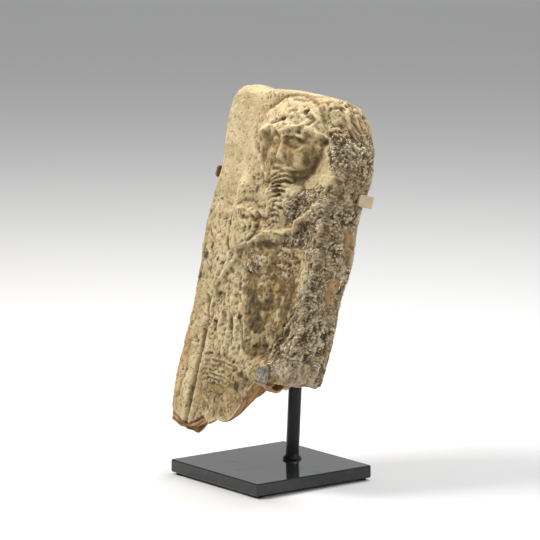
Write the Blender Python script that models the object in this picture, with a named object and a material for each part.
"""Terracotta relief plaque on its display stand, as closed solids in metres with +Z up.

The picture side of the plaque faces -Y. The base plate's edges lie along X and Y, its centre is on the Z axis
and the feet stand on Z = 0.
"""

import math

import bmesh
import bpy
import numpy as np
from mathutils import Vector

MM = 0.001
GAP = 0.3  # air between pieces that touch, mm

# Stand, in mm
PLATE_SIDE = 50.8
PLATE_THICKNESS = 4.5
PLATE_EDGE = 0.4
PLATE_CORNER = 0.6
PAD_DIAMETER = 3.4
PAD_HEIGHT = 0.9
PAD_INSET = 2.6
ROD_DIAMETER = 4.7
ROD_FOOT = (0.0, 9.6)
ROD_LEAN = 2.8  # degrees, towards the back
ROD_FLARE = 1.1
ROD_FLARE_HEIGHT = 1.8
ROD_TOP_V = 94.0
STRIP_THICKNESS = 0.8
SIDE_CLIP_WIDTH = 4.2
SIDE_CLIP_V = 90.3
LEFT_TIP_DEPTH = 0.6
RIGHT_TIP_DEPTH = 11.2
PAD_CLIP_WIDTH = 6.5
PAD_CLIP_TOP_V = 26.7
PAD_CLIP_U = 46.9
ARM_WIDTH = 3.4

# Plaque, in mm: u runs across the picture side, v up it and h out of it
LEAN = 15.7  # degrees, top towards the back
CORNER_U = -26.81  # where u = v = h = 0 lies in X, Y and above the plate's top
CORNER_Y = -23.80
CORNER_UP = 13.6
THICKNESS = 17.4
TOP_V = 122.6
TOP_LEFT_CORNER = 9.0
TOP_RIGHT_CORNER = 8.0
FRONT_ROUND = 2.6
BACK_ROUND = 3.6
BACK_WAVE = 0.12
# edge profiles as (v, u) and (u, v) pairs
LEFT_EDGE = ((0, -1.4), (15, -3.8), (30, -3.4), (46, -3.2), (56, -5.0), (70, -6.8), (82, -6.3),
             (93, -5.2), (107, -7.6), (124, -7.2))
RIGHT_EDGE = ((20, 58.4), (36, 59.6), (56, 59.3), (66, 60.5), (88, 59.3), (97, 61.0), (104, 60.4),
              (109, 58.4), (114, 55.4), (124, 52.3))
TOP_EDGE = ((-8, 0.2), (0, 0.4), (4, -0.8), (12, -0.1), (24, 0.4), (44, -0.4), (60, -2.6))
BREAK_FRONT = ((-6, 0.7), (7, 0.4), (15, -0.2), (21, 2.0), (27, 4.5), (32, 4.8), (36, 8.2),
               (38.5, 12.8), (42, 19.6), (46, 21.2), (50, 22.0), (60, 22.4))
BREAK_BACK = ((-6, 0.8), (1, 2.8), (4, 4.6), (11, 6.8), (15, 11.6), (23, 14.8), (30, 19.8), (39, 22.3),
              (50, 22.8), (56, 24.0), (60, 27.5))
BREAK_LIP = 3.9  # how far the lower layer of clay hangs past the picture side at the left
COLUMNS = 46
ROWS = 54
LAYERS = 4
BACK_RIM = 2
BACK_STEP = 6


def smooth(low, high, x):
    """0 below low, 1 above high and an S-curve between."""
    t = np.clip((np.asarray(x, float) - low) / (high - low), 0.0, 1.0)
    return t * t * (3.0 - 2.0 * t)


def profile(pairs, x):
    """A rounded line through the pairs."""
    at = np.array([p[0] for p in pairs], float)
    value = np.array([p[1] for p in pairs], float)
    slope = np.gradient(value, at)
    x = np.clip(np.asarray(x, float), at[0], at[-1])
    i = np.clip(np.searchsorted(at, x, side="right") - 1, 0, len(at) - 2)
    w = at[i + 1] - at[i]
    t = (x - at[i]) / w
    return (value[i] * (1 + 2 * t) * (1 - t) ** 2 + slope[i] * w * t * (1 - t) ** 2
            + value[i + 1] * t * t * (3 - 2 * t) + slope[i + 1] * w * t * t * (t - 1))


def dome(u, v, cu, cv, ru, rv, height, power=0.7):
    """A rounded mound with an oval foot."""
    q = ((u - cu) / ru) ** 2 + ((v - cv) / rv) ** 2
    return height * np.clip(1.0 - q, 0.0, 1.0) ** power


def bar(u, v, points, width, height):
    """A rounded ridge, or a groove if height is negative, along straight stretches."""
    near = np.full(np.broadcast(u, v).shape, 1e9)
    for (au, av), (bu, bv) in zip(points[:-1], points[1:]):
        du, dv = bu - au, bv - av
        t = np.clip(((u - au) * du + (v - av) * dv) / (du * du + dv * dv), 0.0, 1.0)
        near = np.minimum(near, np.hypot(u - au - t * du, v - av - t * dv))
    return height * np.exp(-(near / width) ** 2)


def left_edge(v):
    return profile(LEFT_EDGE, v)


def right_edge(v):
    return profile(RIGHT_EDGE, v)


def top_edge(u):
    return TOP_V + profile(TOP_EDGE, u)


def corner_drop(x):
    """How far the two rounded top corners fall below the top outline."""
    drop = 0.0
    for inside, radius in ((31.0 * (1.0 + x), TOP_LEFT_CORNER), (31.0 * (1.0 - x), TOP_RIGHT_CORNER)):
        near = np.clip(1.0 - inside / radius, 0.0, 1.0)
        drop = drop + radius * (1.0 - np.sqrt(1.0 - near * near))
    return drop


def break_edge(u, depth):
    """Height of the broken lower end at a share of the thickness."""
    s = smooth(0.0, 0.8, depth)
    lip = np.exp(-((np.asarray(depth) - 0.27) / 0.16) ** 2) * (1.0 - smooth(12.0, 18.0, u))
    lip = BREAK_LIP * lip * (0.45 + 0.55 * smooth(-6.0, 10.0, u))
    lump = 2.3 * np.exp(-((np.asarray(depth) - 0.46) / 0.2) ** 2 - ((u - 31.0) / 4.0) ** 2)
    return profile(BREAK_FRONT, u) * (1.0 - s) + profile(BREAK_BACK, u) * s - lip - lump


def relief(u, v):
    """Height of the moulded picture above the ground, mm."""
    h = np.zeros(np.broadcast(u, v).shape)
    # plain border at the left, groove beside it and the worn rim at the right
    h = h + 1.1 * (1.0 - smooth(6.8, 8.6, u)) * (1.0 - smooth(46.0, 60.0, v))
    h = h + bar(u, v, ((8.4, -4.0), (8.6, 26.0), (7.6, 34.0)), 1.0, -0.9)
    h = h + 1.5 * smooth(49.0, 54.0, u) * smooth(20.0, 30.0, v) * (1.0 - smooth(84.0, 100.0, v))
    # body of the figure, hollow in the middle below the waist
    body = smooth(8.6, 11.0, u) * (1.0 - smooth(82.0, 97.0, v)) * (1.0 - smooth(49.0, 52.0, u))
    h = h + 1.4 * body
    h = h + dome(u, v, 41.0, 44.0, 11.0, 20.0, -2.0, 1.2)
    h = h + dome(u, v, 40.5, 31.5, 4.5, 4.5, -1.6, 1.2)
    # head: cap, brim, face, side locks and beard
    h = h + dome(u, v, 32.5, 106.0, 17.5, 16.0, 4.6)
    h = h + dome(u, v, 32.5, 113.0, 15.0, 8.5, 1.5)
    h = h + bar(u, v, ((19.0, 107.0), (27.0, 110.5), (37.0, 111.0), (48.0, 108.5)), 1.8, 1.1)
    h = h + dome(u, v, 35.5, 100.0, 9.5, 10.5, 1.2)
    h = h + bar(u, v, ((21.5, 102.0), (21.0, 97.0), (23.5, 93.0)), 2.4, 1.1)
    h = h + dome(u, v, 37.0, 86.5, 8.5, 12.5, 4.2, 1.0)
    # shoulder, arm and fist at the left, forearm ridge across the chest
    h = h + bar(u, v, ((13.5, 87.0), (14.0, 80.0)), 4.2, 2.0)
    h = h + dome(u, v, 19.5, 74.0, 6.5, 8.5, 2.6)
    h = h + bar(u, v, ((56.0, 84.0), (51.0, 79.0), (46.0, 74.6), (38.5, 73.6), (31.0, 71.8), (25.0, 68.6),
                       (19.5, 64.5)), 2.3, 2.1)
    h = h + dome(u, v, 34.0, 67.4, 6.0, 3.2, -1.2, 1.0)
    h = h + dome(u, v, 27.5, 62.0, 6.5, 4.5, 1.0)
    # edge of the robe, its upright folds and the band of the hem
    h = h + bar(u, v, ((19.0, 62.0), (12.6, 56.0), (10.6, 50.0), (10.6, 42.0)), 1.5, 1.2)
    for cu in (12.4, 17.0, 21.6, 26.2):
        h = h + bar(u, v, ((cu - 0.6, 50.0), (cu + 0.6, 28.0)), 1.3, 0.9)
    h = h + bar(u, v, ((17.0, 21.4), (23.0, 21.6), (29.5, 20.8)), 4.4, 0.6)
    return h


def sheet_point(x, t, w):
    """Point of the plaque for x across (-1 to 1), t up and w through (0 front, 1 back), as u, v and h."""
    guess = 27.0 + 31.5 * x
    drop = corner_drop(x) * t ** 6
    v0 = top_edge(guess) * t - drop + break_edge(guess, w) * (1.0 - t) ** 3
    left, right = left_edge(v0), right_edge(v0)
    u = (left + right) / 2.0 + (right - left) / 2.0 * x
    v = top_edge(u) * t - drop + break_edge(u, w) * (1.0 - t) ** 3
    side_left, side_right = u - left, right - u
    end = top_edge(u) - corner_drop(x) - v
    round_right = FRONT_ROUND + 6.4 * smooth(84.0, 114.0, v)
    fall, worn = 0.0, 0.0
    for inside, radius in ((side_left, FRONT_ROUND), (side_right, round_right), (end, FRONT_ROUND + 0.6)):
        q = np.clip(1.0 - inside / radius, 0.0, 1.0)
        fall = fall + (radius * (1.0 - np.sqrt(1.0 - q * q))) ** 2
        worn = np.maximum(worn, q * q)
    front = relief(u, v) * (1.0 - 0.75 * worn) - np.sqrt(fall)
    q = np.minimum(np.hypot(np.clip(1.0 - np.minimum(side_left, side_right) / BACK_ROUND, 0.0, 1.0),
                            np.clip(1.0 - end / BACK_ROUND, 0.0, 1.0)), 1.0)
    back = -THICKNESS + BACK_ROUND * (1.0 - np.sqrt(1.0 - q * q))
    back = back + BACK_WAVE * np.sin(u * 0.21) * np.sin(v * 0.13) * (1.0 - q)
    h = front * (1.0 - w) + back * w
    swell = 4.0 * w * (1.0 - w)
    u = u + swell * x * np.abs(x) ** 20 * 0.5
    v = v + swell * t ** 20 * 0.9
    return u, v, h


def even_steps(n, tight):
    """n + 1 steps from 0 to 1, closer together near both ends."""
    a = np.linspace(0.0, 1.0, n + 1)
    return a - tight * np.sin(2.0 * math.pi * a) / (2.0 * math.pi)


def plaque_to_row(u, v, h):
    """Plaque coordinates in mm to the row's frame in metres."""
    a = math.radians(LEAN)
    up = PAD_HEIGHT + PLATE_THICKNESS + CORNER_UP
    x = CORNER_U + np.asarray(u, float)
    y = CORNER_Y + np.asarray(v) * math.sin(a) - np.asarray(h) * math.cos(a)
    z = up + np.asarray(v) * math.cos(a) + np.asarray(h) * math.sin(a)
    return np.stack(np.broadcast_arrays(x, y, z), axis=-1) * MM


def row_to_plaque(x, y, z):
    """The way back, all in mm."""
    a = math.radians(LEAN)
    dy = y - CORNER_Y
    dz = z - PAD_HEIGHT - PLATE_THICKNESS - CORNER_UP
    return x - CORNER_U, dy * math.sin(a) + dz * math.cos(a), dz * math.sin(a) - dy * math.cos(a)


def zip_lines(a, b, faces):
    """Triangles between two lines of point numbers that run the same way."""
    i = j = 0
    while i < len(a) - 1 or j < len(b) - 1:
        if j == len(b) - 1 or (i < len(a) - 1 and (i + 1) / (len(a) - 1) <= (j + 1) / (len(b) - 1)):
            faces.append((a[i], a[i + 1], b[j]))
            i += 1
        else:
            faces.append((a[i], b[j + 1], b[j]))
            j += 1


def block_mesh(nx, nt, nw, rim, step):
    """The plaque as a block of nx by nt by nw cells, bent into shape, with a coarser back inside its rim."""
    xs = 2.0 * even_steps(nx, 0.55) - 1.0
    ts = even_steps(nt, 0.3)
    ws = np.linspace(0.0, 1.0, nw + 1)
    number, cells = {}, []

    def index(i, j, k):
        key = (i, j, k)
        if key not in number:
            number[key] = len(cells)
            cells.append((xs[i], ts[j], ws[k]))
        return number[key]

    faces = []
    for i in range(nx):
        for j in range(nt):
            faces.append((index(i, j, 0), index(i + 1, j, 0), index(i + 1, j + 1, 0), index(i, j + 1, 0)))
    for k in range(nw):
        for j in range(nt):
            faces.append((index(0, j, k), index(0, j + 1, k), index(0, j + 1, k + 1), index(0, j, k + 1)))
            faces.append((index(nx, j, k), index(nx, j, k + 1), index(nx, j + 1, k + 1), index(nx, j + 1, k)))
        for i in range(nx):
            faces.append((index(i, 0, k), index(i, 0, k + 1), index(i + 1, 0, k + 1), index(i + 1, 0, k)))
            faces.append((index(i, nt, k), index(i + 1, nt, k), index(i + 1, nt, k + 1), index(i, nt, k + 1)))
    # back: fine cells along the rim, coarse ones inside and triangles between them
    for i in range(nx):
        for j in range(nt):
            if i < rim or j < rim or i >= nx - rim or j >= nt - rim:
                faces.append((index(i, j, nw), index(i, j + 1, nw), index(i + 1, j + 1, nw), index(i + 1, j, nw)))
    ci = list(range(rim + step, nx - rim - step + 1, step))
    cj = list(range(rim + step, nt - rim - step + 1, step))
    for a in range(len(ci) - 1):
        for b in range(len(cj) - 1):
            faces.append((index(ci[a], cj[b], nw), index(ci[a], cj[b + 1], nw),
                          index(ci[a + 1], cj[b + 1], nw), index(ci[a + 1], cj[b], nw)))
    across, along = range(rim, nx - rim + 1), range(rim, nt - rim + 1)
    zip_lines([index(i, rim, nw) for i in across][::-1], [index(i, cj[0], nw) for i in ci][::-1], faces)
    zip_lines([index(i, nt - rim, nw) for i in across], [index(i, cj[-1], nw) for i in ci], faces)
    zip_lines([index(rim, j, nw) for j in along], [index(ci[0], j, nw) for j in cj], faces)
    zip_lines([index(nx - rim, j, nw) for j in along][::-1], [index(ci[-1], j, nw) for j in cj][::-1], faces)
    x, t, w = np.array(cells).T
    u, v, h = sheet_point(x, t, w)
    return plaque_to_row(u, v, h), faces


def add_object(name, points, faces, slot, colour, metal, rough):
    """A named object with one material of its own and its faces turned outwards."""
    mesh = bpy.data.meshes.new(name)
    mesh.from_pydata([tuple(float(c) for c in p) for p in points], [], [tuple(int(i) for i in f) for f in faces])
    bm = bmesh.new()
    bm.from_mesh(mesh)
    bmesh.ops.remove_doubles(bm, verts=bm.verts, dist=1e-7)
    bmesh.ops.recalc_face_normals(bm, faces=bm.faces)
    bmesh.ops.triangulate(bm, faces=bm.faces, quad_method="SHORT_EDGE", ngon_method="BEAUTY")
    if bm.calc_volume(signed=True) < 0.0:
        bmesh.ops.reverse_faces(bm, faces=bm.faces)
    bm.to_mesh(mesh)
    bm.free()
    obj = bpy.data.objects.new(name, mesh)
    bpy.context.scene.collection.objects.link(obj)
    mat = bpy.data.materials.get(slot) or bpy.data.materials.new(slot)
    mat.use_nodes = True
    shader = mat.node_tree.nodes["Principled BSDF"]
    shader.inputs["Base Color"].default_value = (*colour, 1.0)
    shader.inputs["Metallic"].default_value = metal
    shader.inputs["Roughness"].default_value = rough
    mesh.materials.append(mat)
    return obj


def rings_mesh(rings):
    """Closed body from rings of equal count, with flat ends."""
    n = len(rings[0])
    points = [p for ring in rings for p in ring]
    faces = [tuple(range(n))[::-1], tuple((len(rings) - 1) * n + i for i in range(n))]
    for r in range(len(rings) - 1):
        for i in range(n):
            a, b = r * n + i, r * n + (i + 1) % n
            faces.append((a, b, b + n, a + n))
    return points, faces


def rod_line():
    """Centre line of the rod in mm: up from the plate, then along the plaque's back."""
    a, b = math.radians(ROD_LEAN), math.radians(LEAN)
    start = Vector((ROD_FOOT[0], ROD_FOOT[1], PAD_HEIGHT + PLATE_THICKNESS + GAP))
    lower = Vector((0.0, math.sin(a), math.cos(a)))
    upper = Vector((0.0, math.sin(b), math.cos(b)))
    behind = -THICKNESS - BACK_WAVE - GAP - STRIP_THICKNESS - GAP - ROD_DIAMETER / 2.0
    end = Vector(plaque_to_row(-CORNER_U, ROD_TOP_V, behind) / MM)
    # the two straight stretches meet at the knee
    along = (lower.y * (start.z - end.z) - lower.z * (start.y - end.y)) / (lower.y * upper.z - lower.z * upper.y)
    knee = end + upper * along
    bend = 14.0
    line = [start + lower * s for s in (0.0, 0.35, 0.8, 1.3, ROD_FLARE_HEIGHT)]
    first, last = knee - lower * bend, knee + upper * bend
    for n in range(9):
        t = n / 8.0
        line.append(first * (1 - t) ** 2 + knee * 2 * t * (1 - t) + last * t * t)
    return line + [end - upper * 0.5, end]


def rod_mesh():
    line = rod_line()
    rings = []
    for n, centre in enumerate(line):
        ahead = (line[min(n + 1, len(line) - 1)] - line[max(n - 1, 0)]).normalized()
        if n == 0:
            ahead = Vector((0.0, 0.0, 1.0))
        side = Vector((1.0, 0.0, 0.0))
        other = ahead.cross(side)
        up = (centre - line[0]).length
        flare = ROD_FLARE * max(0.0, 1.0 - up / ROD_FLARE_HEIGHT) ** 2
        radius = ROD_DIAMETER / 2.0 + flare - (0.5 if n == len(line) - 1 else 0.0)
        ring = []
        for k in range(28):
            f = 2.0 * math.pi * k / 28
            ring.append((centre + (side * math.cos(f) + other * math.sin(f)) * radius) * MM)
        rings.append(ring)
    return rings_mesh(rings)


def plate_mesh():
    rings = []
    half = PLATE_SIDE / 2.0
    low, high = PAD_HEIGHT, PAD_HEIGHT + PLATE_THICKNESS
    for z, cut in ((low, PLATE_EDGE), (low + PLATE_EDGE, 0.0), (high - PLATE_EDGE, 0.0), (high, PLATE_EDGE)):
        ring = []
        for k in range(4):
            for n in range(4):
                f = math.pi / 2.0 * (k + n / 3.0)
                sx = 1.0 if k in (0, 3) else -1.0
                sy = 1.0 if k in (0, 1) else -1.0
                centre = half - PLATE_CORNER
                radius = PLATE_CORNER - cut * 0.8
                ring.append(Vector((sx * centre + math.cos(f) * radius,
                                    sy * centre + math.sin(f) * radius, z)) * MM)
        rings.append(ring)
    return rings_mesh(rings)


def disc_mesh(cx, cy, radius, low, high, n=20):
    rings = []
    for z, r in ((low, radius - 0.1), (low + 0.12, radius), (high, radius)):
        rings.append([Vector((cx + r * math.cos(2 * math.pi * k / n), cy + r * math.sin(2 * math.pi * k / n), z)) * MM
                      for k in range(n)])
    return rings_mesh(rings)


def strip_mesh(stations):
    """Bent strip: each station is its middle, the way across, the way through, the width and the thickness."""
    rings = []
    for centre, across, through, width, thick in stations:
        ring = []
        for s, r in ((-1, -1), (1, -1), (1, 1), (-1, 1)):
            ring.append(centre + across * (s * width / 2.0) + through * (r * thick / 2.0))
        rings.append(ring)
    return rings_mesh(rings)


def flat_bend(points, radius, steps=5):
    """A line through the points with its corners rounded."""
    line = [Vector(points[0])]
    for a, b, c in zip(points[:-2], points[1:-1], points[2:]):
        a, b, c = Vector(a), Vector(b), Vector(c)
        first = b + (a - b).normalized() * radius
        last = b + (c - b).normalized() * radius
        for n in range(steps + 1):
            t = n / steps
            line.append(first * (1 - t) ** 2 + b * 2 * t * (1 - t) + last * t * t)
    return line + [Vector(points[-1])]


def side_limit(sign, tip_depth):
    """How far the plaque reaches at a side clip, in u, and how far back it reaches, in h."""
    t, w = np.meshgrid(np.linspace(0.6, 0.85, 120), np.linspace(0.0, 1.0, 40))
    u, v, h = sheet_point(np.full(t.shape, float(sign)), t, w)
    near = (np.abs(v - SIDE_CLIP_V) < SIDE_CLIP_WIDTH * 0.6) & (h < 0.5 - tip_depth)
    reach = u[near].max() if sign > 0 else u[near].min()
    return float(reach), -THICKNESS - BACK_WAVE


def side_clip(sign, tip_depth):
    """Strip from the rod along the plaque's back and round its side edge."""
    reach, back = side_limit(sign, tip_depth)
    middle = GAP + STRIP_THICKNESS / 2.0
    u_side = reach + sign * middle
    h_back = back - middle
    start = -CORNER_U + sign * 0.4
    line = flat_bend([(start, h_back, 0.0), (u_side, h_back, 0.0), (u_side, -tip_depth, 0.0)], 2.2)
    line = [line[0]] + line[1:]
    stations = []
    total = len(line)
    upright = Vector(plaque_to_row(0, 1, 0) - plaque_to_row(0, 0, 0)).normalized()
    for n, p in enumerate(line):
        ahead = (line[min(n + 1, total - 1)] - line[max(n - 1, 0)]).normalized()
        out = Vector((ahead.y, -ahead.x, 0.0))
        middle_point = Vector(plaque_to_row(p.x, SIDE_CLIP_V, p.y))
        through = Vector(plaque_to_row(out.x, 0, out.y) - plaque_to_row(0, 0, 0)).normalized()
        stations.append((middle_point, upright, through, SIDE_CLIP_WIDTH * MM, STRIP_THICKNESS * MM))
    # the tip narrows to rounded corners
    last = stations[-1]
    direction = (last[0] - stations[-2][0]).normalized()
    stations[-1] = (last[0] - direction * 0.9 * MM, *last[1:])
    for back_off, share in ((0.35, 0.9), (0.0, 0.62)):
        stations.append((last[0] - direction * back_off * MM, last[1], last[2], last[3] * share, last[4]))
    return strip_mesh(stations)


def bottom_clip():
    """Rounded pad on the face over the broken edge, with an arm under the break back to the rod."""
    thick = STRIP_THICKNESS
    uu, vv = np.meshgrid(np.linspace(PAD_CLIP_U - 3.6, PAD_CLIP_U + 3.6, 30), np.linspace(18.0, 27.5, 30))
    face = float(relief(uu, vv).max())
    h_pad = face + GAP + thick / 2.0
    line = rod_line()
    rod_v = 21.6
    # rod centre at the height where the arm meets it
    low, high = line[0], line[5]
    foot, top = row_to_plaque(low.x, low.y, low.z), row_to_plaque(high.x, high.y, high.z)
    share = (rod_v - foot[1]) / (top[1] - foot[1])
    rod_u, rod_h = foot[0] + share * (top[0] - foot[0]), foot[2] + share * (top[2] - foot[2])
    start = (PAD_CLIP_U - 0.4, -0.6)
    ahead = Vector((rod_u - start[0], rod_h - start[1], 0.0))
    reach = ahead.length - ROD_DIAMETER / 2.0 - GAP - 0.4
    ahead.normalize()
    across_arm = Vector((-ahead.y, ahead.x, 0.0))
    if across_arm.x < 0:
        across_arm = -across_arm

    def under(u, h):
        """Lowest v of the plaque over the arm's width at one place."""
        if h < -THICKNESS - 1.0:
            return rod_v + 2.0
        low = 1e9
        for s in np.linspace(-1.0, 1.0, 9):
            for e in (-1.2, 0.0, 1.2):
                pu = u + across_arm.x * s * ARM_WIDTH / 2.0 + ahead.x * e
                ph = h + across_arm.y * s * ARM_WIDTH / 2.0 + ahead.y * e
                low = min(low, float(break_edge(np.array(pu), np.clip(-ph / THICKNESS, 0.0, 1.0))))
        return low

    def point(u, v, h):
        return Vector(plaque_to_row(u, v, h))

    def way(du, dv, dh):
        return Vector(plaque_to_row(du, dv, dh) - plaque_to_row(0, 0, 0)).normalized()

    stations = []
    u_axis, n_axis, v_axis = way(1, 0, 0), way(0, 0, 1), way(0, 1, 0)
    top, bottom = PAD_CLIP_TOP_V, float(under(PAD_CLIP_U, 0.0)) - GAP - thick / 2.0
    for v, share in ((top, 0.55), (top - 0.5, 0.8), (top - 1.3, 0.96), (top - 2.4, 1.0), (top - 4.4, 0.98),
                     (top - 5.6, 0.86)):
        stations.append((point(PAD_CLIP_U, v, h_pad), u_axis, n_axis, PAD_CLIP_WIDTH * share * MM, thick * MM))
    # bend under the edge
    turn = 1.2
    v_low = bottom
    for n in range(5):
        f = math.pi / 2.0 * n / 4.0
        v = v_low + turn * (1.0 - math.sin(f))
        h = h_pad - turn * (1.0 - math.cos(f))
        width = PAD_CLIP_WIDTH * (0.80 - 0.2 * n / 4.0)
        through = n_axis * math.cos(f) - v_axis * math.sin(f)
        stations.append((point(PAD_CLIP_U - 0.1 * n, v, h), u_axis, through, width * MM, thick * MM))
    count = 9
    lowest = v_low
    for n in range(count):
        s = (n + 0.6) / (count - 0.4) * reach
        u = start[0] + ahead.x * s
        h = start[1] + ahead.y * s
        target = min(under(u, h) - GAP - thick / 2.0, rod_v)
        lowest = target if n > 0 else min(v_low, target)
        share = min(1.0, n / 3.0)
        across = (u_axis * (1.0 - share) + way(across_arm.x, 0, across_arm.y) * share).normalized()
        width = PAD_CLIP_WIDTH * 0.6 * (1.0 - share) + ARM_WIDTH * share
        stations.append((point(u, lowest, h), across, -v_axis, width * MM, thick * MM))
    return strip_mesh(stations)


for old in list(bpy.data.objects):
    bpy.data.objects.remove(old)

points, faces = block_mesh(COLUMNS, ROWS, LAYERS, BACK_RIM, BACK_STEP)
add_object("plaque", points, faces, "terracotta", (0.56, 0.46, 0.30), 0.0, 0.9)
add_object("base_plate", *plate_mesh(), "black_steel", (0.02, 0.02, 0.022), 0.0, 0.3)
add_object("rod", *rod_mesh(), "black_rod", (0.015, 0.015, 0.015), 0.0, 0.45)
add_object("clip_left", *side_clip(-1, LEFT_TIP_DEPTH), "clip_brass", (0.60, 0.45, 0.24), 1.0, 0.45)
add_object("clip_right", *side_clip(1, RIGHT_TIP_DEPTH), "clip_brass", (0.60, 0.45, 0.24), 1.0, 0.45)
add_object("clip_bottom", *bottom_clip(), "clip_grey", (0.30, 0.31, 0.30), 0.3, 0.55)
corner = PLATE_SIDE / 2.0 - PAD_INSET
for number, (sx, sy) in enumerate(((-1, -1), (1, -1), (1, 1), (-1, 1)), 1):
    add_object(f"foot_pad_{number}", *disc_mesh(sx * corner, sy * corner, PAD_DIAMETER / 2.0, 0.0, PAD_HEIGHT - GAP),
               "black_rubber", (0.02, 0.02, 0.02), 0.0, 0.8)
